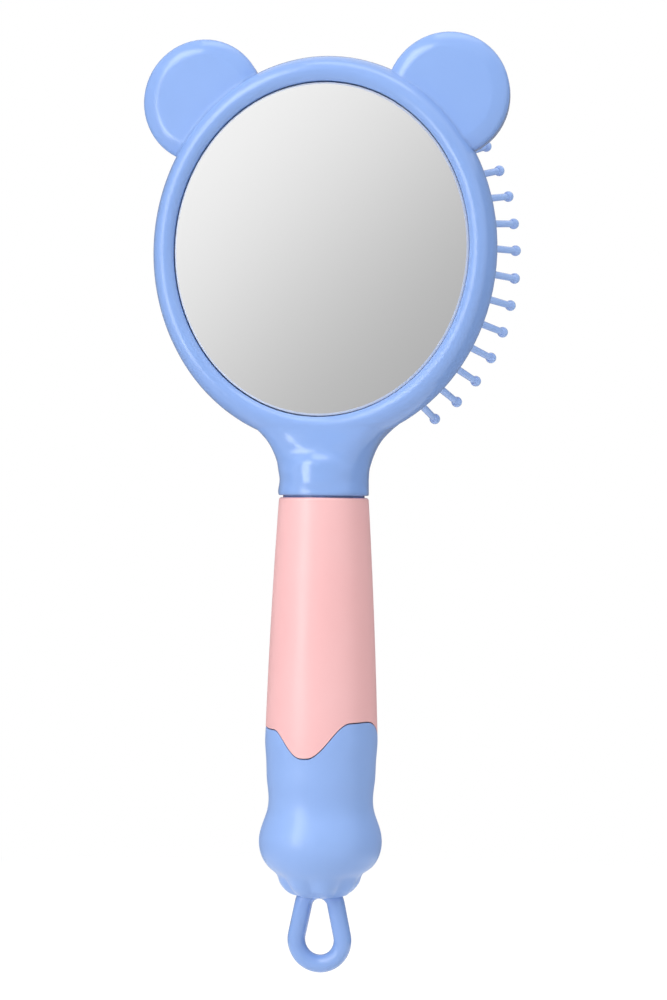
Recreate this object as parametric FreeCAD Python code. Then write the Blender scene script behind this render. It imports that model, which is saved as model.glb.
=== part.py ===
import FreeCAD, Part
import math
import os

V = FreeCAD.Vector

# Sizes in millimetres. X is the width, +Z runs up the handle to the head, the mirror faces -Y.
# The origin lies on the handle's axis, at the grip.

# Head rim: half sizes of its outline, the bead round the mirror, and the rear edge
HEAD_HALF_HEIGHT = 46.8
HEAD_HALF_WIDTH = 42.4
RIM_WIDTH = 6.5
RIM_RISE = 1.7
RIM_STEP = 0.35
RIM_INNER_ROUND = 2.3
RIM_BELT = 2.8
RIM_OUTER_FALL = 5.8
RIM_EDGE_ROUND = 3.3
RIM_DRAFT = 0.8
REAR_DRAFT = 2.0
REAR_ROUND = 4.0
HEAD_BACK = 7.2
SIDE_WALL = 3.8
LIP_THICK = 2.0
LIP_FLAT = 1.2
REAR_BORDER = 5.1

# Mirror, set back from the rim, with the tape and the floor that carry it
GLASS_FACE = 7.3
GLASS_THICK = 2.0
GLASS_GAP = 0.3
GLASS_BEVEL = 0.5
TAPE_THICK = 0.8
TAPE_INSET = 1.5
FLOOR_THICK = 2.0

# Ears: round discs with a flat face, a domed edge that turns by an angle, and a small round at the side
EAR_RADIUS = 15.0
EAR_FLAT = 11.3
EAR_ANGLE = 50.5
EAR_OUT = 2.63
EAR_FRONT = 6.4
EAR_BACK = 6.0
EAR_SHOULDER = 4.2
EAR_REAR_SHOULDER = 2.6
EAR_DRAFT = 0.5
EAR_ROUND = 1.2
EAR_TURN = 32.0
EAR_WALL = 2.0

# Neck and collar: length from the collar's end to the mirror's middle, and the neck's reach into the rim
NECK_LENGTH = 59.1
NECK_BITE = 7.8
NECK_WEB = 8.0
COLLAR_RADIUS = 10.9
COLLAR_ROUND = 0.35
# The collar's front ends in an arch: where it starts, how far it reaches, and how softly it blends
ARCH_START = 6.9
ARCH_REACH = 6.0
ARCH_BLEND = 1.0
# Depth of the neck's back below the rim's
NECK_BACK_SINK = 1.0
# Neck sections: share of the rise, share of the widening, sink of the front below the rim, squareness
NECK = (
    (0.0, 0.0, 1.0, 2.0),
    (0.12, 0.0, 1.0, 2.0),
    (0.24, 0.0, 1.0, 2.0),
    (0.34, 0.02, 0.0, 2.1),
    (0.42, 0.052, 0.0, 2.3),
    (0.5, 0.095, 0.02, 2.6),
    (0.58, 0.15, 0.05, 2.9),
    (0.68, 0.252, 0.08, 3.3),
    (0.8, 0.438, 0.1, 3.8),
    (0.9, 0.64, 0.08, 4.0),
    (1.0, 0.895, 0.08, 4.0),
)

# Tang: the tube of the two shells that runs down into the handle
TANG_RADIUS = 7.6
TANG_BORE = 5.0
TANG_DROP = 11.7
SLIP_FIT = 0.15
GROOVE_DEPTH = 1.0

# Cushion: a rubber dome with a clamped flange, and the ring that holds it
DOME_RISE = 7.3
DOME_THICK = 1.4
DOME_GAP = 0.5
FLANGE_THICK = 1.6
RING_GAP = 0.3
RING_WALL = 2.2
VENT_RADIUS = 0.8
VENT_SHARE = 0.475

# Pins: rings on the cushion, each with its share of the dome's radius and its number of pins
PIN_RINGS = ((0.0, 1), (0.19, 8), (0.38, 16), (0.57, 24), (0.76, 32), (0.95, 41))
# The outer ring stays bare up to this angle on each side of the neck
NECK_BARE_ANGLE = 25.0
PIN_NODES = ("pins_centre", "pins_ring_1", "pins_ring_2", "pins_ring_3", "pins_ring_4", "pins_ring_5")
RING_SQUARENESS = 2.05
PIN_LENGTH = 15.0
PIN_ROOT_RADIUS = 0.95
PIN_NECK_RADIUS = 0.82
BALL_RADIUS = 1.32
PIN_HEAD_RADIUS = 1.4
PIN_HEAD_THICK = 0.7
PIN_HEAD_GAP = 0.3
PIN_HOLE_GAP = 0.06

# Shell screws, driven from the back
SCREW_HEAD_RADIUS = 2.4
SCREW_HEAD_THICK = 1.7
SCREW_RADIUS = 1.2
SCREW_LENGTH = 7.1
SCREW_RECESS = 2.4
SCREW_GAP = 0.3
SCREW_FIT = 0.1
BOSS_WALL = 1.8
EAR_SCREW_OUT = 2.0

# Grip sleeve: outer radii at its top, middle and foot
SLEEVE_TOP = 28.5
SLEEVE_LENGTH = 57.5
COLLAR_GAP = 0.5
SLEEVE_TOP_RADIUS = 10.9
SLEEVE_MID_RADIUS = 12.46
SLEEVE_FOOT_RADIUS = 13.6
SLEEVE_ROUND = 0.7
SLEEVE_WALL = 2.4
SLEEVE_LAND = 10.0

# Wave between sleeve and tail: angle from the front towards +X, and height above its middle
WAVE_GAP = 0.3
WAVE = (
    (-8, -4.65),
    (-3, -4.65),
    (44, 3.75),
    (66, 3.85),
    (135, -3.5),
    (180, 2.8),
    (228, -4.0),
    (283, 2.0),
    (316, 1.75),
)

# Tail cap: drop below the seam, outer radius, depth of the creases between the toes, swell of the front
TAIL = (
    (-8.0, 13.6, 0.0, 0.0),
    (-4.0, 13.6, 0.0, 0.0),
    (0.0, 13.6, 0.0, 0.0),
    (4.4, 13.45, 0.0, 0.0),
    (8.8, 13.22, 0.0, 0.0),
    (13.0, 12.85, 0.0, 0.0),
    (16.4, 12.68, 0.0, 0.0),
    (19.2, 13.2, 0.0, 0.0),
    (22.0, 14.2, 0.0, 0.0),
    (24.8, 14.85, 0.0, 0.0),
    (27.2, 14.8, 0.0, 0.0),
    (29.6, 14.1, 0.0, 0.0),
    (31.6, 12.8, 0.02, 0.2),
    (33.2, 10.9, 0.4, 1.0),
    (34.6, 10.05, 0.95, 1.0),
    (36.2, 9.45, 1.25, 0.6),
    (37.6, 8.3, 1.2, 0.2),
    (38.5, 6.9, 0.85, 0.0),
    (38.8, 5.9, 0.7, 0.0),
)
# Toes: how many, how round their creases are, and how closely the swell keeps to the front
TOE_COUNT = 8
TOE_CREASE = 0.1
TOE_FRONT = 5
CAP_CAVITY = 5.0
CAP_FLOOR_THICK = 11.8

# Hang loop: a teardrop ring with a stem, held by a washer and a screw
LOOP_ROD = 2.15
LOOP_LOW_RADIUS = 5.75
LOOP_HIGH_RADIUS = 4.1
LOOP_SPAN = 8.0
LOOP_DROP = 2.9
STEM_RADIUS = 2.1
WASHER_RADIUS = 4.5
WASHER_THICK = 0.8
LOOP_SCREW_RADIUS = 0.9
LOOP_SCREW_HEAD = 2.2
LOOP_SCREW_HEAD_THICK = 1.6
LOOP_SCREW_LENGTH = 7.0

# Values that follow from the sizes above
OVAL = HEAD_HALF_WIDTH / HEAD_HALF_HEIGHT
COLLAR_END = SLEEVE_TOP + COLLAR_GAP
HEAD_Z = COLLAR_END + NECK_LENGTH
RIM_INNER = HEAD_HALF_HEIGHT - RIM_WIDTH
RIM_CREST = RIM_INNER + RIM_INNER_ROUND
RIM_OUTER_ROUND = RIM_WIDTH - RIM_INNER_ROUND
RIM_FRONT = -GLASS_FACE - RIM_RISE
GLASS_BACK = -GLASS_FACE + GLASS_THICK
FLOOR_FRONT = GLASS_BACK + TAPE_THICK
FLOOR_BACK = FLOOR_FRONT + FLOOR_THICK
OPENING = HEAD_HALF_HEIGHT - REAR_BORDER
CHAMBER = HEAD_HALF_HEIGHT - SIDE_WALL
LIP_INSIDE = HEAD_BACK - LIP_THICK
DOME_RADIUS = OPENING - DOME_GAP
FLANGE_RADIUS = CHAMBER - RING_GAP
SCREW_SEAT = EAR_BACK - SCREW_RECESS
NECK_WEB_TOP = HEAD_Z - CHAMBER
WAVE_Z = SLEEVE_TOP - SLEEVE_LENGTH
TANG_END = WAVE_Z - TANG_DROP
TAIL_FOOT_Z = WAVE_Z - TAIL[-1][0]
CAP_FLOOR_Z = TAIL_FOOT_Z + CAP_FLOOR_THICK
LOOP_HIGH_Z = TAIL_FOOT_Z - LOOP_DROP
LOOP_LOW_Z = LOOP_HIGH_Z - LOOP_SPAN
FAR = 200.0


def outline(start, *steps):
    """A closed face: a point is a line's end, a pair is an arc's middle and end, a list is a curve."""
    edges = []
    here = start
    for step in steps:
        if isinstance(step, list):
            curve = Part.BSplineCurve()
            curve.interpolate([here] + step)
            edges.append(curve.toShape())
            here = step[-1]
        elif isinstance(step, tuple):
            edges.append(Part.Arc(here, step[0], step[1]).toShape())
            here = step[1]
        else:
            edges.append(Part.makeLine(here, step))
            here = step
    edges.append(Part.makeLine(here, start))
    return Part.Face(Part.Wire(edges))


def quarter(centre_r, centre_y, reach_r, reach_y):
    """Middle point of a quarter oval round a centre, in the head's turning plane."""
    half = math.sqrt(0.5)
    return side(centre_r + reach_r * half, centre_y + reach_y * half)


def bent(start, end, bend):
    """Middle of an arc between two points that bends outwards by an angle in degrees."""
    chord = end - start
    rise = math.tan(math.radians(bend) / 4) / 2
    return (start + end) / 2 + V(0, -chord.z, chord.y) * rise


def side(radius, y):
    """A point in the plane where the head's rim is drawn."""
    return V(0, y, radius)


def turned_oval(face):
    """Turn a face round the head's axis and squeeze it to the head's oval."""
    solid = face.revolve(V(0, 0, 0), V(0, 1, 0), 360)
    squeeze = FreeCAD.Matrix()
    squeeze.A11 = OVAL
    solid = solid.transformGeometry(squeeze)
    solid.translate(V(0, 0, HEAD_Z))
    return solid


def oval_plate(half_height, front, back):
    """A flat oval plate, concentric with the head."""
    centre = V(0, front, HEAD_Z)
    high = centre + V(0, 0, half_height)
    wide = centre + V(half_height * OVAL, 0, 0)
    ends = (high, wide) if OVAL <= 1 else (wide, high)
    edge = Part.Ellipse(ends[0], ends[1], centre).toShape()
    return Part.Face(Part.Wire(edge)).extrude(V(0, back - front, 0))


def oval_ring(outer, inner, front, back):
    return oval_plate(outer, front, back).cut(oval_plate(inner, front, back))


def rod(radius, x, z, front, back):
    """A round bar along Y."""
    return Part.makeCylinder(radius, back - front, V(x, front, z), V(0, 1, 0))


def half_space(front, back):
    return Part.makeBox(2 * FAR, back - front, 2 * FAR, V(-FAR, front, -FAR))


def ear_place(way, out=0.0):
    """Middle of an ear, or a place further out on the line from the head's middle."""
    across = math.cos(math.radians(EAR_ANGLE))
    upward = math.sin(math.radians(EAR_ANGLE))
    rim = 1 / math.hypot(across / HEAD_HALF_WIDTH, upward / HEAD_HALF_HEIGHT)
    reach = rim + EAR_OUT + out
    return way * reach * across, HEAD_Z + reach * upward


def screw_places():
    low = (0.0, NECK_WEB_TOP - NECK_WEB / 2)
    return [ear_place(-1, EAR_SCREW_OUT), ear_place(1, EAR_SCREW_OUT), low]


def head_puck():
    """The rim's outer form, filled, with the bead in front and the rounded edge behind."""
    round_out = RIM_FRONT + RIM_OUTER_FALL
    deep = RIM_OUTER_FALL - RIM_EDGE_ROUND
    flank = (RIM_OUTER_ROUND**2 + deep**2 - RIM_EDGE_ROUND**2) / (2 * (RIM_OUTER_ROUND - RIM_EDGE_ROUND))
    turn = math.atan2(flank - RIM_OUTER_ROUND, deep)
    bead = side(
        RIM_CREST + RIM_EDGE_ROUND * math.sin(turn),
        RIM_FRONT + RIM_EDGE_ROUND * (1 - math.cos(turn)),
    )
    wide = side(HEAD_HALF_HEIGHT, round_out)
    crest = side(RIM_CREST, RIM_FRONT)
    fall = RIM_RISE - RIM_STEP
    bend = (RIM_INNER_ROUND**2 + fall**2) / (2 * fall)
    half_turn = math.atan2(RIM_INNER_ROUND, bend - fall) / 2
    slope = side(RIM_CREST - bend * math.sin(half_turn), RIM_FRONT + bend * (1 - math.cos(half_turn)))
    lip_edge = OPENING + LIP_FLAT
    rear_side = HEAD_HALF_HEIGHT - REAR_DRAFT
    rear_start = HEAD_BACK - REAR_ROUND
    face = outline(
        side(0, -GLASS_FACE),
        side(RIM_INNER, -GLASS_FACE),
        side(RIM_INNER, RIM_FRONT + fall),
        (slope, crest),
        (bent(crest, bead, math.degrees(turn)), bead),
        (bent(bead, wide, 90 - math.degrees(turn)), wide),
        side(HEAD_HALF_HEIGHT, -RIM_BELT),
        side(HEAD_HALF_HEIGHT - RIM_DRAFT, 0),
        side(rear_side, rear_start),
        (quarter(lip_edge, rear_start, rear_side - lip_edge, REAR_ROUND), side(lip_edge, HEAD_BACK)),
        side(0, HEAD_BACK),
    )
    return turned_oval(face)


def ear_turned(way, face):
    """Turn a face, drawn in the rim's plane, round an ear's axis."""
    x, z = ear_place(way)
    solid = face.revolve(V(0, 0, 0), V(0, 1, 0), 360)
    solid.translate(V(x, 0, z))
    return solid


def ear_edge(radius, flat, shoulder):
    """Places along an ear's edge, from the flat over the domed edge to the shoulder, on the front side."""
    turn = math.radians(EAR_TURN)
    first = side(EAR_FLAT, -flat)
    corner = side(radius - EAR_ROUND * (1 - math.sin(turn)), -shoulder - EAR_ROUND * math.cos(turn))
    last = side(radius, -shoulder)
    lean = math.degrees(math.atan2(corner.y - first.y, corner.z - first.z))
    dome = bent(first, corner, 2 * (EAR_TURN - lean))
    return [first, dome, corner, bent(corner, last, 90 - EAR_TURN), last]


def ear_solid(way):
    front = ear_edge(EAR_RADIUS, EAR_FRONT, EAR_SHOULDER)
    back = [side(p.z, -p.y) for p in ear_edge(EAR_RADIUS - 2 * EAR_DRAFT, EAR_BACK, EAR_REAR_SHOULDER)]
    face = outline(
        side(0, -EAR_FRONT),
        front[0],
        (front[1], front[2]),
        (front[3], front[4]),
        side(EAR_RADIUS - EAR_DRAFT, 0),
        back[4],
        (back[3], back[2]),
        (back[1], back[0]),
        side(0, EAR_BACK),
    )
    return ear_turned(way, face)


def ear_hollow(way):
    flat = EAR_FLAT - EAR_WALL / 2
    wide = EAR_RADIUS - EAR_DRAFT - EAR_WALL
    face = outline(
        side(0, EAR_WALL - EAR_FRONT),
        side(flat, EAR_WALL - EAR_FRONT),
        side(wide, EAR_WALL - EAR_SHOULDER),
        side(wide - EAR_DRAFT, EAR_REAR_SHOULDER - EAR_WALL),
        side(flat, EAR_BACK - EAR_WALL),
        side(0, EAR_BACK - EAR_WALL),
    )
    return ear_turned(way, face)


def smooth_ring(points):
    """A smooth closed edge through points, with the same step of the curve from each to the next."""
    steps = [float(number) for number in range(len(points) + 1)]
    curve = Part.BSplineCurve()
    curve.interpolate(Points=points, PeriodicFlag=True, Parameters=steps)
    return curve.toShape()


def closed_curve(points, count):
    """A smooth closed wire through places spaced evenly along a closed line of points."""
    ring = points + points[:1]
    run = [0.0]
    for first, second in zip(ring, ring[1:]):
        run.append(run[-1] + first.distanceToPoint(second))
    places = []
    index = 0
    for number in range(count):
        goal = run[-1] * number / count
        while run[index + 1] < goal:
            index += 1
        share = (goal - run[index]) / (run[index + 1] - run[index])
        places.append(ring[index] + (ring[index + 1] - ring[index]) * share)
    return Part.Wire(smooth_ring(places))


def lofted(sections):
    """A smooth solid through closed wires, in cubic curves that don't swing out between them."""
    return Part.makeLoft(sections, True, False, False, 3)


def neck_section(rise, widening, sink, squareness):
    """A section of the neck: the flat fan that widens to the rim, with the round collar blended in."""
    height = rise * (NECK_LENGTH - HEAD_HALF_HEIGHT + NECK_BITE)
    end_width = HEAD_HALF_WIDTH * math.sqrt(1 - (1 - NECK_BITE / HEAD_HALF_HEIGHT) ** 2)
    half_width = COLLAR_RADIUS + widening * (end_width - COLLAR_RADIUS)
    share = min(1, max(0, height - ARCH_START) / ARCH_REACH)
    collar = COLLAR_RADIUS * math.sqrt(1 - share**2)
    ease = (1 - math.cos(math.pi * rise)) / 2
    back = COLLAR_RADIUS + (HEAD_BACK - NECK_BACK_SINK - COLLAR_RADIUS) * ease
    points = []
    for step in range(720):
        angle = math.radians(step / 2)
        behind = step < 360
        depth = back if behind else -RIM_FRONT - sink
        x = half_width * math.copysign(abs(math.cos(angle)) ** (2 / squareness), math.cos(angle))
        y = depth * math.copysign(abs(math.sin(angle)) ** (2 / squareness), math.sin(angle))
        fan = math.hypot(x, y)
        near = max(ARCH_BLEND - abs(fan - collar), 0) if widening else 0
        reach = fan if behind else max(fan, collar) + near**2 / (4 * ARCH_BLEND)
        points.append(V(x * reach / fan, y * reach / fan, COLLAR_END + height))
    return closed_curve(points, 40)


def neck_solid():
    """Collar and neck, flaring from a round section to a flat one that meets the bead's crest."""
    neck = lofted([neck_section(*row) for row in NECK])
    low = [e for e in neck.Edges if abs(e.BoundBox.ZMax - COLLAR_END) < 0.001]
    neck = neck.makeFillet(COLLAR_ROUND, low)
    return neck.cut(oval_plate(RIM_CREST, -FAR, FAR))


def tang_solid():
    """The tube down into the handle, with the step that the sleeve butts against."""
    tang = Part.makeCylinder(TANG_RADIUS, COLLAR_END + COLLAR_ROUND - TANG_END, V(0, 0, TANG_END))
    step = Part.makeCylinder(COLLAR_RADIUS - GROOVE_DEPTH, COLLAR_GAP + COLLAR_ROUND, V(0, 0, SLEEVE_TOP))
    return tang.fuse(step)


def shells():
    """The head's casing, hollowed and parted at the plane through the handle's axis."""
    body = head_puck().fuse(neck_solid()).multiFuse([ear_solid(-1), ear_solid(1), tang_solid()])
    wall = oval_plate(HEAD_HALF_HEIGHT - RIM_DRAFT, -FAR, FAR)
    cuts = [
        oval_plate(RIM_INNER, -FAR, FLOOR_FRONT),
        oval_plate(CHAMBER, FLOOR_BACK, LIP_INSIDE),
        oval_plate(OPENING, LIP_INSIDE, FAR),
        Part.makeCylinder(TANG_BORE, NECK_WEB_TOP - NECK_WEB - TANG_END, V(0, 0, TANG_END)),
    ]
    for way in (-1, 1):
        x, z = ear_place(way, EAR_SCREW_OUT)
        boss = rod(SCREW_RADIUS + BOSS_WALL, x, z, -EAR_FRONT, EAR_BACK)
        cuts.append(ear_hollow(way).cut(wall).cut(boss))
    for x, z in screw_places():
        cuts.append(rod(SCREW_HEAD_RADIUS + SCREW_GAP, x, z, SCREW_SEAT, FAR))
        cuts.append(rod(SCREW_RADIUS + SCREW_FIT, x, z, SCREW_SEAT - SCREW_LENGTH - SCREW_GAP, SCREW_SEAT))
    body = body.cut(cuts)
    return body.common(half_space(-FAR, 0)), body.common(half_space(0, FAR))


def mirror():
    glass = oval_plate(RIM_INNER - GLASS_GAP, -GLASS_FACE, GLASS_BACK)
    front = [e for e in glass.Edges if e.BoundBox.YMax < -GLASS_FACE + 0.001]
    return glass.makeChamfer(GLASS_BEVEL, front)


def mirror_tape():
    return oval_plate(RIM_INNER - GLASS_GAP - TAPE_INSET, GLASS_BACK, FLOOR_FRONT)


def cushion_spacer():
    return oval_ring(FLANGE_RADIUS, FLANGE_RADIUS - RING_WALL, FLOOR_BACK, LIP_INSIDE - FLANGE_THICK)


def dome_point(x, z):
    """Place on the dome over a point of the head's plane, and the way the dome faces there."""
    wide = DOME_RADIUS * OVAL
    share = (x / wide) ** 2 + (z / DOME_RADIUS) ** 2
    height = DOME_RISE * math.sqrt(1 - share)
    way = V(x / wide**2, height / DOME_RISE**2, z / DOME_RADIUS**2)
    way.normalize()
    return V(x, LIP_INSIDE + height, HEAD_Z + z), way


def ring_points(share, count, half_step):
    """Places spaced evenly along a slightly squared oval, from its top."""
    if count == 1:
        return [(0.0, 0.0)]
    path = []
    for step in range(1441):
        angle = math.radians(step / 4)
        x = math.copysign(abs(math.sin(angle)) ** (2 / RING_SQUARENESS), math.sin(angle))
        z = math.copysign(abs(math.cos(angle)) ** (2 / RING_SQUARENESS), math.cos(angle))
        path.append((share * DOME_RADIUS * OVAL * x, share * DOME_RADIUS * z))
    run = [0.0]
    for first, second in zip(path, path[1:]):
        run.append(run[-1] + math.hypot(second[0] - first[0], second[1] - first[1]))
    places = []
    for number in range(count):
        goal = run[-1] * (number + half_step) / count
        index = min(range(len(run)), key=lambda i: abs(run[i] - goal))
        places.append(path[index])
    return places


def pin_seats():
    """For each ring of pins, the places and directions of its pins."""
    rings = []
    for number, (share, count) in enumerate(PIN_RINGS):
        half_step = 0.0 if number % 2 else 0.5
        places = ring_points(share, count, half_step)
        if number == len(PIN_RINGS) - 1:
            bare = math.radians(NECK_BARE_ANGLE)
            places = [(x, z) for x, z in places if abs(math.atan2(x, -z)) > bare]
        rings.append([dome_point(x, z) for x, z in places])
    return rings


def placed(shape, point, way):
    copy = shape.copy()
    copy.Placement = FreeCAD.Placement(point, FreeCAD.Rotation(V(0, 0, 1), way))
    return copy


def pin_solid():
    """One pin along +Z: head under the rubber, tapered shaft, ball tip. Its origin is on the dome."""
    head_top = -DOME_THICK - PIN_HEAD_GAP
    head_low = head_top - PIN_HEAD_THICK
    neck = PIN_LENGTH - math.sqrt(BALL_RADIUS**2 - PIN_NECK_RADIUS**2)
    face = outline(
        V(0, 0, head_low),
        V(PIN_HEAD_RADIUS, 0, head_low),
        V(PIN_HEAD_RADIUS, 0, head_top),
        V(PIN_ROOT_RADIUS, 0, head_top),
        V(PIN_NECK_RADIUS, 0, neck),
        (V(BALL_RADIUS, 0, PIN_LENGTH), V(0, 0, PIN_LENGTH + BALL_RADIUS)),
    )
    return face.revolve(V(0, 0, 0), V(0, 0, 1), 360)


def dome_edge(radius, rise):
    """Quarter oval from the dome's edge to its crown."""
    oval = Part.Ellipse(side(radius, LIP_INSIDE), side(0, LIP_INSIDE + rise), side(0, LIP_INSIDE))
    start = oval.parameter(side(radius, LIP_INSIDE))
    end = oval.parameter(side(0, LIP_INSIDE + rise))
    if end > math.pi:
        start, end = end, start + 2 * math.pi
    return Part.Edge(oval, start, end)


def cushion():
    """Rubber dome and flange, with a hole for each pin and an air hole."""
    inner = DOME_RADIUS - DOME_THICK
    foot = LIP_INSIDE - FLANGE_THICK
    edges = [
        dome_edge(DOME_RADIUS, DOME_RISE),
        Part.makeLine(side(DOME_RADIUS, LIP_INSIDE), side(FLANGE_RADIUS, LIP_INSIDE)),
        Part.makeLine(side(FLANGE_RADIUS, LIP_INSIDE), side(FLANGE_RADIUS, foot)),
        Part.makeLine(side(FLANGE_RADIUS, foot), side(inner, foot)),
        Part.makeLine(side(inner, foot), side(inner, LIP_INSIDE)),
        dome_edge(inner, DOME_RISE - DOME_THICK),
        Part.makeLine(side(0, LIP_INSIDE + DOME_RISE - DOME_THICK), side(0, LIP_INSIDE + DOME_RISE)),
    ]
    dome = turned_oval(Part.Face(Part.Wire(Part.__sortEdges__(edges))))
    deep = 3 * DOME_THICK
    hole = Part.makeCylinder(PIN_ROOT_RADIUS + PIN_HOLE_GAP, 2 * deep, V(0, 0, -deep))
    holes = [placed(hole, point, way) for ring in pin_seats() for point, way in ring]
    vent = Part.makeCylinder(VENT_RADIUS, 2 * deep, V(0, 0, -deep))
    point, way = dome_point(0, -VENT_SHARE * DOME_RADIUS)
    holes.append(placed(vent, point, way))
    return dome.cut(holes)


def shell_screws():
    screws = []
    for x, z in screw_places():
        head = rod(SCREW_HEAD_RADIUS, x, z, SCREW_SEAT, SCREW_SEAT + SCREW_HEAD_THICK)
        shank = rod(SCREW_RADIUS, x, z, SCREW_SEAT - SCREW_LENGTH, SCREW_SEAT)
        slot = SCREW_HEAD_RADIUS * 0.6
        cross = []
        for wide, tall in ((slot, 0.3), (0.3, slot)):
            corner = V(x - wide, SCREW_SEAT + SCREW_HEAD_THICK / 2, z - tall)
            cross.append(Part.makeBox(2 * wide, SCREW_HEAD_THICK, 2 * tall, corner))
        screws.append(head.fuse(shank).cut(cross))
    return Part.makeCompound(screws)


def wave_height(angle):
    """Height of the seam at an angle in degrees from the front, easing between the listed turns."""
    turns = list(WAVE) + [(WAVE[0][0] + 360, WAVE[0][1])]
    angle = (angle - WAVE[0][0]) % 360 + WAVE[0][0]
    for (low, first), (high, second) in zip(turns, turns[1:]):
        if low <= angle <= high:
            ease = (1 - math.cos(math.pi * (angle - low) / (high - low))) / 2
            return WAVE_Z + first + (second - first) * ease


def wave_edge(radius, lift):
    points = []
    for step in range(72):
        turn = 5 * step
        angle = math.radians(turn)
        points.append(V(radius * math.cos(angle), radius * math.sin(angle), wave_height(turn + 90) + lift))
    return smooth_ring(points)


def below_wave(lift):
    """Everything under the seam, from near the axis to beyond the handle."""
    face = Part.makeRuledSurface(wave_edge(STEM_RADIUS / 2, lift), wave_edge(3 * SLEEVE_FOOT_RADIUS, lift))
    return face.extrude(V(0, 0, -FAR))


def grip_sleeve():
    def at(radius, z):
        return V(radius, 0, z)

    bore = TANG_RADIUS + SLIP_FIT
    relief_high = SLEEVE_TOP - SLEEVE_LAND
    relief_low = WAVE_Z + SLEEVE_LAND
    foot = WAVE_Z + 2 * min(height for angle, height in WAVE)
    ease = SLEEVE_ROUND * (1 - math.sqrt(0.5))
    face = outline(
        at(bore, SLEEVE_TOP),
        at(SLEEVE_TOP_RADIUS - SLEEVE_ROUND, SLEEVE_TOP),
        (at(SLEEVE_TOP_RADIUS - ease, SLEEVE_TOP - ease), at(SLEEVE_TOP_RADIUS, SLEEVE_TOP - SLEEVE_ROUND)),
        (at(SLEEVE_MID_RADIUS, 0), at(SLEEVE_FOOT_RADIUS, WAVE_Z)),
        at(SLEEVE_FOOT_RADIUS, foot),
        at(bore, foot),
        at(bore, relief_low),
        at(SLEEVE_FOOT_RADIUS - SLEEVE_WALL, relief_low + SLEEVE_WALL),
        at(SLEEVE_TOP_RADIUS - SLEEVE_WALL, relief_high - SLEEVE_WALL),
        at(bore, relief_high),
    )
    return face.revolve(V(0, 0, 0), V(0, 0, 1), 360).cut(below_wave(WAVE_GAP / 2))


def loop_ring(radius):
    """Teardrop ring of a round rod: two arcs joined by the lines that touch both."""
    span = LOOP_HIGH_Z - LOOP_LOW_Z
    lean = (LOOP_LOW_RADIUS - LOOP_HIGH_RADIUS) / span
    out = math.sqrt(1 - lean**2)

    def touch(way, z, arc):
        return V(way * arc * out, 0, z + arc * lean)

    low_right = touch(1, LOOP_LOW_Z, LOOP_LOW_RADIUS)
    low_left = touch(-1, LOOP_LOW_Z, LOOP_LOW_RADIUS)
    high_right = touch(1, LOOP_HIGH_Z, LOOP_HIGH_RADIUS)
    high_left = touch(-1, LOOP_HIGH_Z, LOOP_HIGH_RADIUS)
    path = Part.Wire(
        [
            Part.Arc(low_right, V(0, 0, LOOP_LOW_Z - LOOP_LOW_RADIUS), low_left).toShape(),
            Part.makeLine(low_left, high_left),
            Part.Arc(high_left, V(0, 0, LOOP_HIGH_Z + LOOP_HIGH_RADIUS), high_right).toShape(),
            Part.makeLine(high_right, low_right),
        ]
    )
    way = V(lean, 0, -out)
    section = Part.Wire(Part.makeCircle(radius, low_right, way))
    return path.makePipeShell([section], True, False)


def hang_loop():
    top = LOOP_HIGH_Z + LOOP_HIGH_RADIUS
    stem = Part.makeCylinder(STEM_RADIUS, CAP_FLOOR_Z - top, V(0, 0, top))
    deep = LOOP_SCREW_LENGTH + SCREW_GAP
    pilot = Part.makeCylinder(LOOP_SCREW_RADIUS + SCREW_FIT, deep, V(0, 0, CAP_FLOOR_Z - deep))
    return loop_ring(LOOP_ROD).fuse(stem).cut(pilot)


def tail_section(drop, radius, crease, swell):
    """A section of the tail: round above, with creases between the toes below, fuller at the front."""
    low = math.sqrt(TOE_CREASE)
    high = math.sqrt(1 + TOE_CREASE)
    points = []
    for step in range(720):
        angle = math.radians(step / 2)
        lobe = math.sqrt(math.sin(angle * TOE_COUNT / 2) ** 2 + TOE_CREASE)
        front = ((1 + math.cos(angle)) / 2) ** TOE_FRONT
        reach = radius + swell * front - crease * (high - lobe) / (high - low)
        points.append(V(reach * math.sin(angle), -reach * math.cos(angle), WAVE_Z - drop))
    return closed_curve(points, 8 * TOE_COUNT)


def tail_cap():
    cap = lofted([tail_section(*row) for row in TAIL]).common(below_wave(-WAVE_GAP / 2))
    cuts = [
        Part.makeCylinder(TANG_RADIUS + SLIP_FIT, FAR, V(0, 0, TANG_END - SLIP_FIT)),
        Part.makeCylinder(CAP_CAVITY, FAR, V(0, 0, CAP_FLOOR_Z)),
        Part.makeCylinder(STEM_RADIUS + SLIP_FIT, FAR, V(0, 0, LOOP_HIGH_Z)),
        loop_ring(LOOP_ROD + SLIP_FIT),
    ]
    for tool in cuts:
        cap = cap.cut(tool)
    return cap


def loop_washer():
    disc = Part.makeCylinder(WASHER_RADIUS, WASHER_THICK, V(0, 0, CAP_FLOOR_Z))
    return disc.cut(Part.makeCylinder(LOOP_SCREW_RADIUS + SCREW_FIT, WASHER_THICK, V(0, 0, CAP_FLOOR_Z)))


def loop_screw():
    seat = CAP_FLOOR_Z + WASHER_THICK
    head = Part.makeCylinder(LOOP_SCREW_HEAD, LOOP_SCREW_HEAD_THICK, V(0, 0, seat))
    shank = Part.makeCylinder(LOOP_SCREW_RADIUS, LOOP_SCREW_LENGTH, V(0, 0, seat - LOOP_SCREW_LENGTH))
    return head.fuse(shank)


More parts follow.
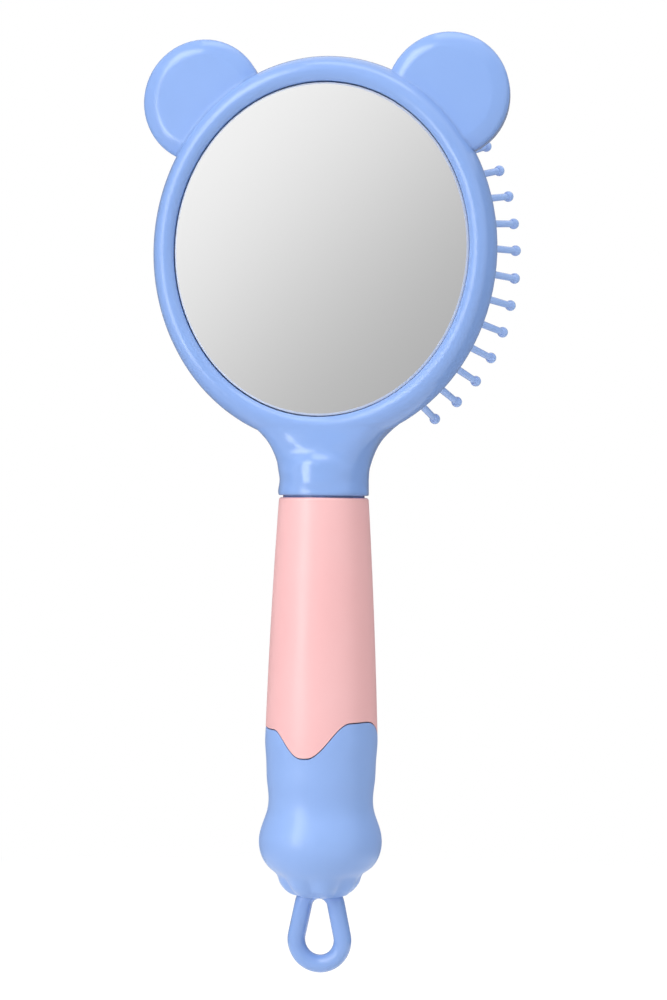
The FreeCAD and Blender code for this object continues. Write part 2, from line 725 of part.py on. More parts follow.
def main():
    os.makedirs("parts", exist_ok=True)
    front, rear = shells()
    nodes = {
        "front_shell": front,
        "rear_shell": rear,
        "mirror": mirror(),
        "mirror_tape": mirror_tape(),
        "cushion": cushion(),
        "cushion_spacer": cushion_spacer(),
        "shell_screws": shell_screws(),
        "grip_sleeve": grip_sleeve(),
        "tail_cap": tail_cap(),
        "hang_loop": hang_loop(),
        "loop_washer": loop_washer(),
        "loop_screw": loop_screw(),
    }
    pin = pin_solid()
    for name, seats in zip(PIN_NODES, pin_seats()):
        nodes[name] = Part.makeCompound([placed(pin, point, way) for point, way in seats])
    for name, shape in nodes.items():
        print(name, shape.isValid(), len(shape.Solids), round(shape.Volume, 1))
        shape.exportStep("parts/" + name + ".step")


main()
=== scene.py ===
"""Looks of a hand-held styling brush with a mirror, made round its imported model."""

import math

import bmesh
import bpy
from bpy.props import FloatProperty, FloatVectorProperty, IntProperty, PointerProperty
from bpy.types import Operator, Panel, PropertyGroup
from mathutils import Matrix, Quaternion, Vector


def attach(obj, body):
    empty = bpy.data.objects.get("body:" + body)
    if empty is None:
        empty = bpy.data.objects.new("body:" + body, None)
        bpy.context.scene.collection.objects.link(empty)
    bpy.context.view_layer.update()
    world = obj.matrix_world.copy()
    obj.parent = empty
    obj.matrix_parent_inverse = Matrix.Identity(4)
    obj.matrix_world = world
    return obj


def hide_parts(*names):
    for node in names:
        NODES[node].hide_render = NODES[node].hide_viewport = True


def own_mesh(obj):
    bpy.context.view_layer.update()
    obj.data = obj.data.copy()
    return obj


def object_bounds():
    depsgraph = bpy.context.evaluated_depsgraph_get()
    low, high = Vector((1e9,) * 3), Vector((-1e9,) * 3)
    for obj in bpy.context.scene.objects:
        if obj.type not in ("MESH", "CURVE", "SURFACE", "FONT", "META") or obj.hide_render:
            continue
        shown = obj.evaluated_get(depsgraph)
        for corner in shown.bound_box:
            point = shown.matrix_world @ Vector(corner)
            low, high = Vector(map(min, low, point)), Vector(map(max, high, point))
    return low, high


bl_info = {
    "name": "Styling Brush Looks",
    "version": (1, 0, 0),
    "blender": (4, 5, 0),
    "location": "View3D > Sidebar > Brush",
    "description": "Dresses the packed styling brush and sets up its stage",
    "category": "Object",
}

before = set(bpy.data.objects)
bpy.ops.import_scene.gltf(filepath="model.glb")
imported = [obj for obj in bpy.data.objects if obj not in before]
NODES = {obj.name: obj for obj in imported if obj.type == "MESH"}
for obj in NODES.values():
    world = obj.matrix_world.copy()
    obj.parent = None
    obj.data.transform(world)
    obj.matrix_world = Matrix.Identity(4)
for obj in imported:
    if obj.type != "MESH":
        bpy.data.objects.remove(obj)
CAD_LOW, CAD_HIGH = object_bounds()
BODY = "brush_body"
PIN_NODES = ("pins_centre", "pins_ring_1", "pins_ring_2", "pins_ring_3", "pins_ring_4", "pins_ring_5")
# Share of the dome's reach and number of places, for each ring of pins
PIN_RINGS = ((0.0, 1), (0.19, 8), (0.38, 16), (0.57, 24), (0.76, 32), (0.95, 41))
RING_SQUARENESS = 2.05
NECK_BARE_ANGLE = math.radians(25)
# Points along a ring, from which its pins' places are picked
RING_STEPS = 1440
# Faces round a collar, and round the lip of the air hole
COLLAR_STEPS = 24
VENT_STEPS = 32
# How far a collar's foot and its hole go below the dome's face, in metres
COLLAR_FOOT_SINK = 0.00012
COLLAR_HOLE_SINK = 0.0005
# Lean that even an upright pin's collar has room for
LEAST_LEAN = 0.05
# The dome sinks this many hole radii round the air hole
VENT_PIT = 1.15
# The mirror counts as flat where it faces straight out by the second share, and as bevel below the first
BEVEL_SHARES = (0.85, 0.95)
# Width of the camera's picture plane, in millimetres
SENSOR_WIDTH = 36
# Floor: radius and sides, grey of its face, glow that lifts it, and where it turns plain white, in metres
FLOOR_RADIUS = 6
FLOOR_SIDES = 96
FLOOR_GREY = 0.8
FLOOR_GLOW = 0.37
FLOOR_FADE = (0.15, 0.5)
# Graded card: half its side, its middle, half the run of its shades, and its shades along that run
CARD_HALF = 2.5
CARD_MIDDLE = (-0.473, -2.0, 0.293)
CARD_RUN = 2.0
CARD_SHADES = ((0.0, 0.75), (0.25, 0.6), (0.42, 0.47), (0.58, 0.98), (1.0, 0.84))
# Grey flags: name, the two azimuths they reach between, in degrees, and shade
FLAGS = (("right_flag", (85, 178), 0.22), ("left_flag", (-75, -125), 0.4), ("back_flag", (178, 235), 0.24))
# A flag's faces round, its nearest and furthest reach, its top and its gap over the floor, in metres
FLAG_STEPS = 12
FLAG_NEAR = 0.2
FLAG_FAR = 1.4
FLAG_TOP = 0.9
FLAG_GAP = 0.002
# Lamps: name, azimuth and elevation in degrees, distance and size in metres, and if it shows in gloss
LAMPS = (
    ("key", -34, 19, 1.1, (0.4, 1.1), True),
    ("side", 50, 52, 1.1, (0.4, 0.4), False),
    ("top", 5, 72, 1.2, (0.8, 0.5), True),
    ("pin", 98, 14, 1.1, (0.5, 0.5), False),
    ("back", 186, 32, 1.2, (0.8, 0.8), False),
)


def colour(name, description, red, green, blue):
    """A colour setting, from the shade as a screen shows it."""
    linear = []
    for part in (red, green, blue):
        share = part / 255
        linear.append(share / 12.92 if share <= 0.04045 else ((share + 0.055) / 1.055) ** 2.4)
    return FloatVectorProperty(
        name=name, description=description, subtype="COLOR", size=3, min=0, max=1, default=linear
    )


def length(name, description, metres):
    """A length setting."""
    return FloatProperty(
        name=name, description=description, subtype="DISTANCE", unit="LENGTH", precision=5, default=metres
    )


def power(name, description, watts):
    """A setting for a lamp's power."""
    return FloatProperty(name=name, description=description, unit="POWER", default=watts)


class BrushColours(PropertyGroup):
    """Colours of the brush's finishes."""

    shell: colour("Shell", "Glossy blue of the shells and the hang loop", 138, 173, 234)
    shell_deep: colour("Shell deep", "Deeper blue that clouds the shells slightly", 134, 169, 231)
    tail: colour("Tail", "Satin blue of the tail cap", 147, 181, 240)
    tail_deep: colour("Tail deep", "Deeper blue that clouds the tail cap slightly", 143, 177, 237)
    grip: colour("Grip", "Satin pink of the grip sleeve", 247, 192, 193)
    grip_deep: colour("Grip deep", "Deeper pink that clouds the grip slightly", 246, 188, 189)
    # The pins' two blues are partly their own lighter tone and partly painted light: they are lifted to make
    # up for the shade the head casts on the pins.
    pins: colour("Pins", "Blue of the pins", 171, 202, 254)
    pins_deep: colour("Pins deep", "Deeper blue that clouds the pins slightly", 164, 196, 251)
    rubber: colour("Rubber", "Pink of the rubber cushion", 243, 190, 194)
    rubber_deep: colour("Rubber deep", "Deeper pink that clouds the cushion", 238, 181, 186)
    silvering: colour("Silvering", "Tint of the mirror's silvering", 246, 246, 246)
    ground_edge: colour("Ground edge", "Frosty white of the mirror's ground bevel", 244, 246, 247)
    steel: colour("Steel", "Colour of the screws and the washer", 212, 212, 216)
    foam: colour("Foam", "Colour of the foam tape", 230, 228, 222)
    ring: colour("Ring", "Colour of the ring that clamps the cushion", 238, 238, 236)


class BrushSizes(PropertyGroup):
    """Sizes of the pieces that are made here."""

    dome_rise: length("Dome rise", "Height of the cushion's crown above its edge", 0.0073)
    dome_reach: length("Dome reach", "Half the cushion's height", 0.0412)
    dome_width: length("Dome width", "Half the cushion's width", 0.037327)
    dome_edge: length("Dome edge", "Place of the cushion's edge behind the parting plane", 0.0052)
    head_height: length("Head height", "Place of the head's middle above the grip", 0.0881)
    collar_rise: length("Collar rise", "Height of the rubber collar round each pin", 0.0008)
    collar_foot: length("Collar foot", "Radius of each collar where it leaves the dome", 0.0027)
    collar_top: length("Collar top", "Radius of each collar at its top", 0.0017)
    collar_gap: length("Collar gap", "Room in a collar for its leaning pin when pressed", 0.0006)
    pin_radius: length("Pin radius", "Radius of a pin where it leaves its collar", 0.00098)
    vent_radius: length("Vent radius", "Radius of the air hole in the cushion", 0.0008)
    vent_depth: length("Vent depth", "How deep the air hole shows", 0.0018)
    vent_share: FloatProperty(
        name="Vent share", description="Place of the air hole, as a share of the dome's reach", default=0.475
    )
    press: length("Press", "How far the cushion's crown can be pressed in", 0.003)


class BrushStage(PropertyGroup):
    """Camera, floor and light."""

    azimuth: FloatProperty(
        name="Azimuth", description="Camera's turn round the brush", subtype="ANGLE",
        default=math.radians(13),
    )
    roll: FloatProperty(
        name="Roll", description="Camera's tilt about its own axis", subtype="ANGLE",
        default=math.radians(0.586),
    )
    distance: length("Distance", "From the camera to the point it looks at", 0.6)
    aim: FloatVectorProperty(
        name="Aim", description="Point the camera and the lamps look at", subtype="XYZ",
        default=(0.0036, -0.00517, 0.02794),
    )
    lens: FloatProperty(name="Lens", description="Focal length in millimetres", default=89.96)
    floor_drop: length("Floor drop", "Gap between the brush and the floor", 0.043)
    sky: FloatProperty(name="Sky", description="Strength of the even light from all round", default=0.49)
    key_power: power("Key power", "Power of the large lamp", 6.2)
    side_power: power("Side power", "Power of the side lamp", 2.0)
    top_power: power("Top power", "Power of the top lamp", 2.9)
    pin_power: power("Pin power", "Power of the lamp on the pins", 0.8)
    back_power: power("Back power", "Power of the back lamp", 3.0)


def rgba(tint):
    return (tint[0], tint[1], tint[2], 1.0)


def deeper(tint, share):
    """The same tint with only a share of its light."""
    return [share * part for part in tint]


def blank_finish(name):
    """A new material, with its node tree and its shader."""
    finish = bpy.data.materials.new(name)
    finish.use_nodes = True
    tree = finish.node_tree
    shader = next(node for node in tree.nodes if node.type == "BSDF_PRINCIPLED")
    return finish, tree, shader


def link(tree, source, target):
    tree.links.new(source, target)


def noise(tree, size, detail=2.0, roughness=0.5):
    """Noise whose patches have the given size in metres, fixed to the piece."""
    place = tree.nodes.new("ShaderNodeTexCoord")
    grain = tree.nodes.new("ShaderNodeTexNoise")
    grain.inputs["Scale"].default_value = 1 / size
    grain.inputs["Detail"].default_value = detail
    grain.inputs["Roughness"].default_value = roughness
    link(tree, place.outputs["Object"], grain.inputs["Vector"])
    return grain.outputs["Fac"]


def spread(tree, source, low, high, start=0.3, end=0.7):
    """A value's range from start to end, by default a noise's middle, laid over low to high."""
    node = tree.nodes.new("ShaderNodeMapRange")
    node.inputs["From Min"].default_value = start
    node.inputs["From Max"].default_value = end
    node.inputs["To Min"].default_value = low
    node.inputs["To Max"].default_value = high
    link(tree, source, node.inputs["Value"])
    return node.outputs["Result"]


def clouded(tree, shader, first, second, size):
    """Base colour that drifts between two shades."""
    mix = tree.nodes.new("ShaderNodeMix")
    mix.data_type = "RGBA"
    mix.inputs["A"].default_value = rgba(first)
    mix.inputs["B"].default_value = rgba(second)
    link(tree, spread(tree, noise(tree, size, 3), 0, 1), mix.inputs["Factor"])
    link(tree, mix.outputs["Result"], shader.inputs["Base Color"])


def grained(tree, shader, layers, edge=0.0):
    """Relief from layers of noise, each with patch size, depth in metres and detail, over eased edges."""
    below = None
    if edge:
        ease = tree.nodes.new("ShaderNodeBevel")
        ease.inputs["Radius"].default_value = edge
        below = ease.outputs["Normal"]
    for size, depth, detail in layers:
        bump = tree.nodes.new("ShaderNodeBump")
        bump.inputs["Strength"].default_value = 1.0
        bump.inputs["Distance"].default_value = depth
        link(tree, noise(tree, size, detail), bump.inputs["Height"])
        if below is not None:
            link(tree, below, bump.inputs["Normal"])
        below = bump.outputs["Normal"]
    link(tree, below, shader.inputs["Normal"])


def moulded(name, shades, patch, gloss, layers, edge=0.0, **constants):
    """Moulded plastic or rubber: clouded colour, gloss that varies a little, and a fine grain."""
    finish, tree, shader = blank_finish(name)
    clouded(tree, shader, shades[0], shades[1], patch)
    link(tree, spread(tree, noise(tree, patch / 3, 3), gloss[0], gloss[1]), shader.inputs["Roughness"])
    grained(tree, shader, layers, edge)
    for socket, value in constants.items():
        shader.inputs[socket.replace("_", " ")].default_value = value
    return finish


def dress(finish, *names):
    """Gives nodes of the frame a finish."""
    for name in names:
        mesh = NODES[name].data
        mesh.materials.clear()
        mesh.materials.append(finish)


def add_mesh(name, points, faces, finish):
    """A smooth new piece from points and faces."""
    mesh = bpy.data.meshes.new(name)
    mesh.from_pydata(points, [], faces)
    mesh.validate()
    mesh.materials.append(finish)
    mesh.shade_smooth()
    piece = bpy.data.objects.new(name, mesh)
    bpy.context.scene.collection.objects.link(piece)
    return piece


def dome_place(sizes, x, z):
    """Point on the cushion over a place of the head's plane, and the way the cushion faces there."""
    share = (x / sizes.dome_width) ** 2 + (z / sizes.dome_reach) ** 2
    height = sizes.dome_rise * math.sqrt(max(0.0, 1 - share))
    way = Vector((x / sizes.dome_width**2, height / sizes.dome_rise**2, z / sizes.dome_reach**2))
    return Vector((x, sizes.dome_edge + height, sizes.head_height + z)), way.normalized()


def ring_places(sizes, share, count, half_step):
    """Places spaced evenly along a slightly squared oval, from its top."""
    if count == 1:
        return [(0.0, 0.0)]
    path = []
    for step in range(RING_STEPS + 1):
        angle = math.radians(360 * step / RING_STEPS)
        x = math.copysign(abs(math.sin(angle)) ** (2 / RING_SQUARENESS), math.sin(angle))
        z = math.copysign(abs(math.cos(angle)) ** (2 / RING_SQUARENESS), math.cos(angle))
        path.append((share * sizes.dome_width * x, share * sizes.dome_reach * z))
    run = [0.0]
    for first, second in zip(path, path[1:]):
        run.append(run[-1] + math.hypot(second[0] - first[0], second[1] - first[1]))
    places = []
    for number in range(count):
        goal = run[-1] * (number + half_step) / count
        places.append(path[min(range(len(run)), key=lambda index: abs(run[index] - goal))])
    return places


def pin_places(sizes):
    """Where every pin leaves the cushion."""
    places = []
    for number, (share, count) in enumerate(PIN_RINGS):
        ring = ring_places(sizes, share, count, 0.0 if number % 2 else 0.5)
        if number == len(PIN_RINGS) - 1:
            ring = [(x, z) for x, z in ring if abs(math.atan2(x, -z)) > NECK_BARE_ANGLE]
        places += ring
    return places


def lathe(points, faces, profile, centre, way, steps):
    """Adds a small turned form: profile pairs are radius and height along the way."""
    turn = way.to_track_quat("Z", "Y")
    start = len(points)
    for radius, height in profile:
        for step in range(steps):
            angle = 2 * math.pi * step / steps
            spot = Vector((radius * math.cos(angle), radius * math.sin(angle), height))
            points.append(centre + turn @ spot)
    for row in range(len(profile) - 1):
        for step in range(steps):
            after = (step + 1) % steps
            low, high = start + row * steps, start + (row + 1) * steps
            faces.append((low + step, low + after, high + after, high + step))


class BRUSH_OT_shells(Operator):
    """Dress the two shells and the hang loop"""

    bl_idname = "brush.shells"
    bl_label = "Dress Shells"

    def execute(self, context):
        colours = context.scene.brush_colours
        gloss = moulded(
            "shell_blue_gloss", (colours.shell, colours.shell_deep), 0.03, (0.13, 0.19),
            ((0.007, 0.000007, 1), (0.0011, 0.0000008, 1)), edge=0.0014,
            Coat_Weight=0.25, Coat_Roughness=0.05,
        )
        dress(gloss, "front_shell", "rear_shell", "hang_loop")
        return {"FINISHED"}


class BRUSH_OT_handle(Operator):
    """Dress the grip sleeve and the tail cap"""

    bl_idname = "brush.handle"
    bl_label = "Dress Handle"

    def execute(self, context):
        colours = context.scene.brush_colours
        pink = moulded(
            "grip_pink_satin", (colours.grip, colours.grip_deep), 0.02, (0.32, 0.39),
            ((0.0006, 0.000006, 2), (0.00025, 0.000003, 1)),
        )
        dress(pink, "grip_sleeve")
        blue = moulded(
            "tail_blue_satin", (colours.tail, colours.tail_deep), 0.02, (0.3, 0.38),
            ((0.0006, 0.000006, 2), (0.00025, 0.000003, 1)), Sheen_Weight=0.03,
        )
        dress(blue, "tail_cap")
        return {"FINISHED"}


class BRUSH_OT_mirror(Operator):
    """Dress the mirror"""

    bl_idname = "brush.mirror"
    bl_label = "Dress Mirror"

    def execute(self, context):
        colours = context.scene.brush_colours
        finish, tree, shader = blank_finish("mirror_silver")
        facing = self.facing(tree)
        tint = tree.nodes.new("ShaderNodeMix")
        tint.data_type = "RGBA"
        tint.inputs["A"].default_value = rgba(colours.ground_edge)
        tint.inputs["B"].default_value = rgba(colours.silvering)
        link(tree, facing, tint.inputs["Factor"])
        link(tree, tint.outputs["Result"], shader.inputs["Base Color"])
        link(tree, facing, shader.inputs["Metallic"])
        haze = spread(tree, noise(tree, 0.02, 4, 0.6), 0.03, 0.05)
        rough = tree.nodes.new("ShaderNodeMix")
        rough.inputs["A"].default_value = 0.45
        link(tree, facing, rough.inputs["Factor"])
        link(tree, haze, rough.inputs["B"])
        link(tree, rough.outputs["Result"], shader.inputs["Roughness"])
        dress(finish, "mirror")
        return {"FINISHED"}

    def facing(self, tree):
        """1 on the mirror's flat faces, 0 on its ground bevel and edge."""
        place = tree.nodes.new("ShaderNodeTexCoord")
        split = tree.nodes.new("ShaderNodeSeparateXYZ")
        link(tree, place.outputs["Normal"], split.inputs[0])
        size = tree.nodes.new("ShaderNodeMath")
        size.operation = "ABSOLUTE"
        link(tree, split.outputs["Y"], size.inputs[0])
        return spread(tree, size.outputs[0], 0, 1, *BEVEL_SHARES)


class BRUSH_OT_pins(Operator):
    """Dress the rings of pins"""

    bl_idname = "brush.pins"
    bl_label = "Dress Pins"

    def execute(self, context):
        colours = context.scene.brush_colours
        finish = moulded(
            "pin_blue_gloss", (colours.pins, colours.pins_deep), 0.004, (0.16, 0.22),
            ((0.0014, 0.0000016, 1),), Coat_Weight=0.15, Coat_Roughness=0.12,
        )
        dress(finish, *PIN_NODES)
        return {"FINISHED"}


class BRUSH_OT_cushion(Operator):
    """Make the rubber cushion, with a collar for each pin and an air hole"""

    bl_idname = "brush.cushion"
    bl_label = "Make Cushion"

    rings: IntProperty(
        name="Rings", description="Rows of faces from the edge to the crown", default=80, min=8
    )
    steps: IntProperty(name="Steps", description="Faces round the cushion", default=320, min=24)

    def execute(self, context):
        colours = context.scene.brush_colours
        sizes = context.scene.brush_sizes
        finish = moulded(
            "cushion_rubber", (colours.rubber, colours.rubber_deep), 0.008, (0.5, 0.62),
            ((0.0009, 0.00002, 3), (0.0003, 0.000008, 2)), Sheen_Weight=0.1,
        )
        points, faces = [], []
        self.dome(sizes, points, faces)
        profile = (
            (sizes.collar_foot, -COLLAR_FOOT_SINK),
            (0.8 * sizes.collar_foot + 0.2 * sizes.collar_top, 0.00002),
            (0.45 * sizes.collar_foot + 0.55 * sizes.collar_top, 0.0002),
            (0.12 * sizes.collar_foot + 0.88 * sizes.collar_top, 0.55 * sizes.collar_rise),
            (sizes.collar_top, 0.85 * sizes.collar_rise),
            (0.93 * sizes.collar_top, 0.97 * sizes.collar_rise),
            (0.8 * sizes.collar_top, sizes.collar_rise),
        )
        for x, z in pin_places(sizes):
            centre, way = dome_place(sizes, x, z)
            hole = sizes.pin_radius + sizes.collar_gap * (math.hypot(way.x, way.z) + LEAST_LEAN)
            wall = ((hole, 0.92 * sizes.collar_rise), (hole, -COLLAR_HOLE_SINK))
            lathe(points, faces, profile + wall, centre, way, COLLAR_STEPS)
        lip = (
            (1.9 * sizes.vent_radius, -0.00008),
            (1.6 * sizes.vent_radius, 0.00012),
            (1.2 * sizes.vent_radius, 0.00015),
            (sizes.vent_radius, 0.00002),
            (sizes.vent_radius, -sizes.vent_depth),
        )
        centre, way = dome_place(sizes, 0, -sizes.vent_share * sizes.dome_reach)
        lathe(points, faces, lip, centre, way, VENT_STEPS)
        piece = add_mesh("rubber_cushion", points, faces, finish)
        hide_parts("cushion")
        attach(piece, BODY)
        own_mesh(piece)
        return {"FINISHED"}

    def dome(self, sizes, points, faces):
        """The dome's outer face, with a pit where the air hole is."""
        vent, way = dome_place(sizes, 0, -sizes.vent_share * sizes.dome_reach)
        rows = []
        for row in range(self.rings):
            tilt = math.pi / 2 * row / self.rings
            rows.append((math.cos(tilt), math.sin(tilt)))
        start = len(points)
        for reach, rise in rows:
            for step in range(self.steps):
                angle = 2 * math.pi * step / self.steps
                point = Vector((
                    reach * sizes.dome_width * math.sin(angle),
                    sizes.dome_edge + rise * sizes.dome_rise,
                    sizes.head_height + reach * sizes.dome_reach * math.cos(angle),
                ))
                if (point - vent).length < VENT_PIT * sizes.vent_radius:
                    point -= sizes.vent_depth * way
                points.append(point)
        for row in range(self.rings - 1):
            for step in range(self.steps):
                after = (step + 1) % self.steps
                low, high = start + row * self.steps, start + (row + 1) * self.steps
                faces.append((low + step, high + step, high + after, low + after))
        crown = len(points)
        points.append(Vector((0, sizes.dome_edge + sizes.dome_rise, sizes.head_height)))
        last = start + (self.rings - 1) * self.steps
        for step in range(self.steps):
            faces.append((last + step, crown, last + (step + 1) % self.steps))


class BRUSH_OT_hardware(Operator):
    """Dress the screws, the washer, the tape and the clamping ring"""

    bl_idname = "brush.hardware"
    bl_label = "Dress Hardware"

    def execute(self, context):
        colours = context.scene.brush_colours
        finish, tree, shader = blank_finish("screw_steel")
        shader.inputs["Metallic"].default_value = 0.75
        clouded(tree, shader, colours.steel, deeper(colours.steel, 0.9), 0.001)
        link(tree, spread(tree, noise(tree, 0.0006, 3), 0.32, 0.45), shader.inputs["Roughness"])
        grained(tree, shader, ((0.0003, 0.000006, 2),))
        dress(finish, "shell_screws", "loop_screw", "loop_washer")
        foam = moulded(
            "foam_tape", (colours.foam, deeper(colours.foam, 0.93)), 0.003, (0.8, 0.92),
            ((0.0005, 0.00004, 4),),
        )
        dress(foam, "mirror_tape")
        ring = moulded(
            "ring_plastic", (colours.ring, deeper(colours.ring, 0.95)), 0.01, (0.4, 0.5),
            ((0.0008, 0.00001, 2),),
        )
        dress(ring, "cushion_spacer")
        return {"FINISHED"}


class BRUSH_OT_stage(Operator):
    """Set up the camera, the floor and the light"""

    bl_idname = "brush.stage"
    bl_label = "Set Stage"

    def execute(self, context):
        stage = context.scene.brush_stage
        scene = context.scene
        scene.view_settings.view_transform = "Standard"
        self.camera(scene, stage)
        self.sky(scene, stage)
        self.floor(stage)
        self.card()
        for name, reach, shade in FLAGS:
            self.flag(stage, name, reach, shade)
        for name, azimuth, elevation, distance, size, shine in LAMPS:
            watts = getattr(stage, name + "_power")
            self.lamp(name + "_lamp", Vector(stage.aim), azimuth, elevation, distance, size, watts, shine)
        return {"FINISHED"}

    def camera(self, scene, stage):
        """A level camera, turned a little to the brush's right."""
        back = Vector((math.sin(stage.azimuth), -math.cos(stage.azimuth), 0))
        view = bpy.data.cameras.new("photo_camera")
        view.sensor_width = SENSOR_WIDTH
        view.lens = stage.lens
        view.clip_start = 0.01
        camera = bpy.data.objects.new("photo_camera", view)
        scene.collection.objects.link(camera)
        camera.rotation_mode = "QUATERNION"
        camera.location = Vector(stage.aim) + back * stage.distance
        level = (-back).to_track_quat("-Z", "Y")
        camera.rotation_quaternion = level @ Quaternion((0, 0, 1), stage.roll)
        scene.camera = camera

    def shown_rays(self, tree):
        """1 for rays that show the background itself, 0 for those that only light the brush."""
        path = tree.nodes.new("ShaderNodeLightPath")
        total = path.outputs["Is Camera Ray"]
        for name in ("Is Glossy Ray", "Is Transmission Ray"):
            add = tree.nodes.new("ShaderNodeMath")
            add.operation = "MAXIMUM"
            link(tree, total, add.inputs[0])
            link(tree, path.outputs[name], add.inputs[1])
            total = add.outputs[0]
        return total

    def sky(self, scene, stage):
        """White behind the brush, and even soft light on it."""
        world = bpy.data.worlds.new("studio")
        world.use_nodes = True
        scene.world = world
        tree = world.node_tree
        tree.nodes.clear()
        soft = tree.nodes.new("ShaderNodeBackground")
        soft.inputs["Strength"].default_value = stage.sky
        white = tree.nodes.new("ShaderNodeBackground")
        white.inputs["Color"].default_value = (1, 1, 1, 1)
        soft.inputs["Color"].default_value = (1, 1, 1, 1)
        mix = tree.nodes.new("ShaderNodeMixShader")
        output = tree.nodes.new("ShaderNodeOutputWorld")
        link(tree, self.shown_rays(tree), mix.inputs[0])
        link(tree, soft.outputs[0], mix.inputs[1])
        link(tree, white.outputs[0], mix.inputs[2])
        link(tree, mix.outputs[0], output.inputs["Surface"])

    def floor(self, stage):
        """A pale round floor that keeps the shadow and turns plain white further out."""
        finish = bpy.data.materials.new("floor_white")
        finish.use_nodes = True
        tree = finish.node_tree
        tree.nodes.clear()
        place = tree.nodes.new("ShaderNodeTexCoord")
        away = tree.nodes.new("ShaderNodeVectorMath")
        away.operation = "LENGTH"
        link(tree, place.outputs["Object"], away.inputs[0])
        far = spread(tree, away.outputs["Value"], 0, 1, *FLOOR_FADE)
        diffuse = tree.nodes.new("ShaderNodeBsdfDiffuse")
        diffuse.inputs["Color"].default_value = (FLOOR_GREY, FLOOR_GREY, FLOOR_GREY, 1)
        lift = tree.nodes.new("ShaderNodeEmission")
        lift.inputs["Color"].default_value = (1, 1, 1, 1)
        shown = self.shown_rays(tree)
        part = tree.nodes.new("ShaderNodeMath")
        part.operation = "MULTIPLY"
        part.inputs[1].default_value = FLOOR_GLOW
        link(tree, shown, part.inputs[0])
        link(tree, part.outputs[0], lift.inputs["Strength"])
        near = tree.nodes.new("ShaderNodeAddShader")
        link(tree, diffuse.outputs[0], near.inputs[0])
        link(tree, lift.outputs[0], near.inputs[1])
        white = tree.nodes.new("ShaderNodeEmission")
        white.inputs["Color"].default_value = (1, 1, 1, 1)
        fade = tree.nodes.new("ShaderNodeMath")
        fade.operation = "MULTIPLY"
        link(tree, far, fade.inputs[0])
        link(tree, shown, fade.inputs[1])
        mix = tree.nodes.new("ShaderNodeMixShader")
        output = tree.nodes.new("ShaderNodeOutputMaterial")
        link(tree, fade.outputs[0], mix.inputs[0])
        link(tree, near.outputs[0], mix.inputs[1])
        link(tree, white.outputs[0], mix.inputs[2])
        link(tree, mix.outputs[0], output.inputs["Surface"])
        build = bmesh.new()
        bmesh.ops.create_circle(build, cap_ends=True, segments=FLOOR_SIDES, radius=FLOOR_RADIUS)
        mesh = bpy.data.meshes.new("floor")
        build.to_mesh(mesh)
        build.free()
        mesh.materials.append(finish)
        floor = bpy.data.objects.new("floor", mesh)
        floor.location = (0, 0, CAD_LOW.z - stage.floor_drop)
        bpy.context.scene.collection.objects.link(floor)

    def card(self):
        """A large graded card behind the camera, which only shows in the mirror and the gloss."""
        finish = bpy.data.materials.new("graded_card")
        finish.use_nodes = True
        tree = finish.node_tree
        tree.nodes.clear()
        place = tree.nodes.new("ShaderNodeTexCoord")
        split = tree.nodes.new("ShaderNodeSeparateXYZ")
        link(tree, place.outputs["Object"], split.inputs[0])
        lean = tree.nodes.new("ShaderNodeMath")
        lean.operation = "SUBTRACT"
        link(tree, split.outputs["Z"], lean.inputs[0])
        link(tree, split.outputs["X"], lean.inputs[1])
        ramp = tree.nodes.new("ShaderNodeValToRGB")
        ramp.color_ramp.interpolation = "EASE"
        link(tree, spread(tree, lean.outputs[0], 0, 1, -CARD_RUN, CARD_RUN), ramp.inputs["Fac"])
        ends = ramp.color_ramp.elements
        while len(ends) < len(CARD_SHADES):
            ends.new(0.5)
        for end, (spot, value) in zip(ends, CARD_SHADES):
            end.position = spot
            end.color = (value, value, value, 1)
        glow = tree.nodes.new("ShaderNodeEmission")
        output = tree.nodes.new("ShaderNodeOutputMaterial")
        link(tree, ramp.outputs["Color"], glow.inputs["Color"])
        link(tree, glow.outputs[0], output.inputs["Surface"])
        corners = ((-1, -1), (1, -1), (1, 1), (-1, 1))
        points = [(CARD_HALF * x, 0, CARD_HALF * z) for x, z in corners]
        self.reflector("card", points, [(0, 1, 2, 3)], finish, CARD_MIDDLE)

    def reflector(self, name, points, faces, finish, middle=(0, 0, 0)):
        """A card that shows in the mirror and the gloss, and neither lights nor shades anything else."""
        mesh = bpy.data.meshes.new(name)
        mesh.from_pydata(points, [], faces)
        mesh.materials.append(finish)
        card = bpy.data.objects.new(name, mesh)
        card.location = middle
        card.visible_camera = False
        card.visible_diffuse = False
        card.visible_shadow = False
        bpy.context.scene.collection.objects.link(card)

    def flag(self, stage, name, reach, shade):
        """A grey card round one side, along the floor and up, that keeps the brush's edges from glaring."""
        finish = bpy.data.materials.new(name)
        finish.use_nodes = True
        tree = finish.node_tree
        tree.nodes.clear()
        glow = tree.nodes.new("ShaderNodeEmission")
        glow.inputs["Color"].default_value = (shade, shade, shade, 1)
        output = tree.nodes.new("ShaderNodeOutputMaterial")
        link(tree, glow.outputs[0], output.inputs["Surface"])
        points, faces = [], []
        low = CAD_LOW.z - stage.floor_drop + FLAG_GAP
        for step in range(FLAG_STEPS + 1):
            turn = math.radians(reach[0] + (reach[1] - reach[0]) * step / FLAG_STEPS)
            for away, height in ((FLAG_NEAR, low), (FLAG_FAR, low), (FLAG_FAR, FLAG_TOP)):
                points.append((away * math.sin(turn), -away * math.cos(turn), height))
        for step in range(FLAG_STEPS):
            for row in (3 * step, 3 * step + 1):
                faces.append((row, row + 1, row + 4, row + 3))
        self.reflector(name, points, faces, finish)

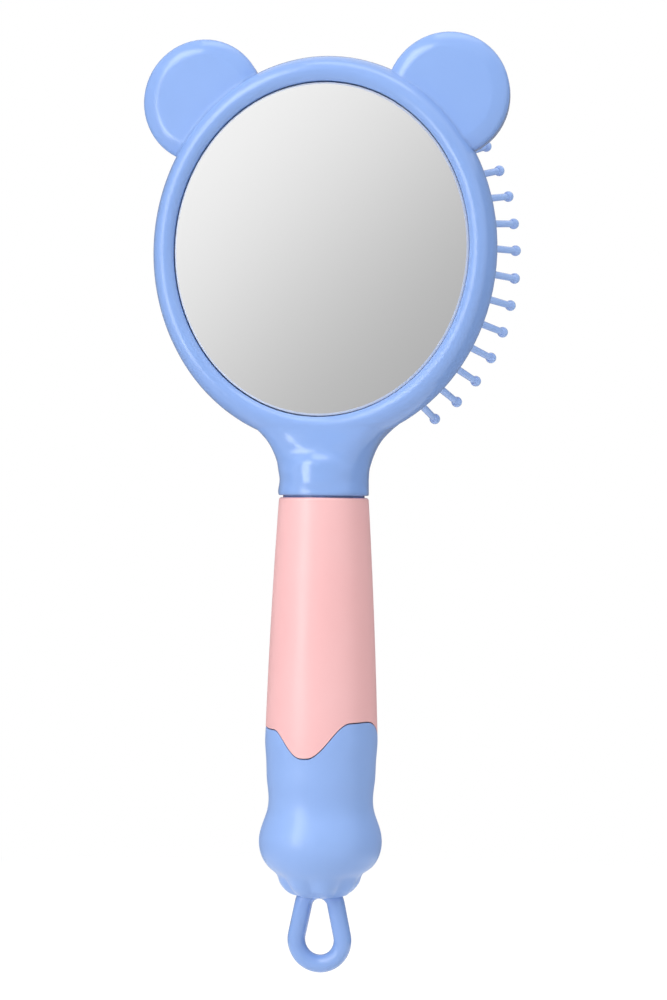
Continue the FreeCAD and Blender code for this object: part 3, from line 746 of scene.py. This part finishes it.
    def lamp(self, name, aim, azimuth, elevation, distance, size, watts, shine):
        """A soft rectangular lamp that faces the brush; without shine it shows in no gloss."""
        turn, lift = math.radians(azimuth), math.radians(elevation)
        level = math.cos(lift)
        back = Vector((math.sin(turn) * level, -math.cos(turn) * level, math.sin(lift)))
        light = bpy.data.lights.new(name, "AREA")
        light.shape = "RECTANGLE"
        light.size, light.size_y = size
        light.energy = watts
        lamp = bpy.data.objects.new(name, light)
        lamp.rotation_mode = "QUATERNION"
        lamp.location = aim + back * distance
        lamp.rotation_quaternion = (-back).to_track_quat("-Z", "Y")
        lamp.visible_glossy = shine
        bpy.context.scene.collection.objects.link(lamp)


STEPS = (
    BRUSH_OT_shells, BRUSH_OT_handle, BRUSH_OT_mirror, BRUSH_OT_pins, BRUSH_OT_cushion, BRUSH_OT_hardware,
    BRUSH_OT_stage,
)


class BRUSH_PT_panel(Panel):
    """Lists the steps that dress the brush, and their settings"""

    bl_idname = "BRUSH_PT_panel"
    bl_label = "Styling Brush"
    bl_space_type = "VIEW_3D"
    bl_region_type = "UI"
    bl_category = "Brush"

    def draw(self, context):
        for step in STEPS:
            self.layout.operator(step.bl_idname)
        scene = context.scene
        for group in (scene.brush_colours, scene.brush_sizes, scene.brush_stage):
            box = self.layout.box()
            for name in group.__annotations__:
                box.prop(group, name)


CLASSES = (BrushColours, BrushSizes, BrushStage) + STEPS + (BRUSH_PT_panel,)


def register():
    for item in CLASSES:
        bpy.utils.register_class(item)
    bpy.types.Scene.brush_colours = PointerProperty(type=BrushColours)
    bpy.types.Scene.brush_sizes = PointerProperty(type=BrushSizes)
    bpy.types.Scene.brush_stage = PointerProperty(type=BrushStage)


def unregister():
    del bpy.types.Scene.brush_stage
    del bpy.types.Scene.brush_sizes
    del bpy.types.Scene.brush_colours
    for item in reversed(CLASSES):
        bpy.utils.unregister_class(item)


def main():
    register()
    bpy.ops.brush.shells()
    bpy.ops.brush.handle()
    bpy.ops.brush.mirror()
    bpy.ops.brush.pins()
    bpy.ops.brush.cushion()
    bpy.ops.brush.hardware()
    bpy.ops.brush.stage()


if __name__ == "__main__":
    main()
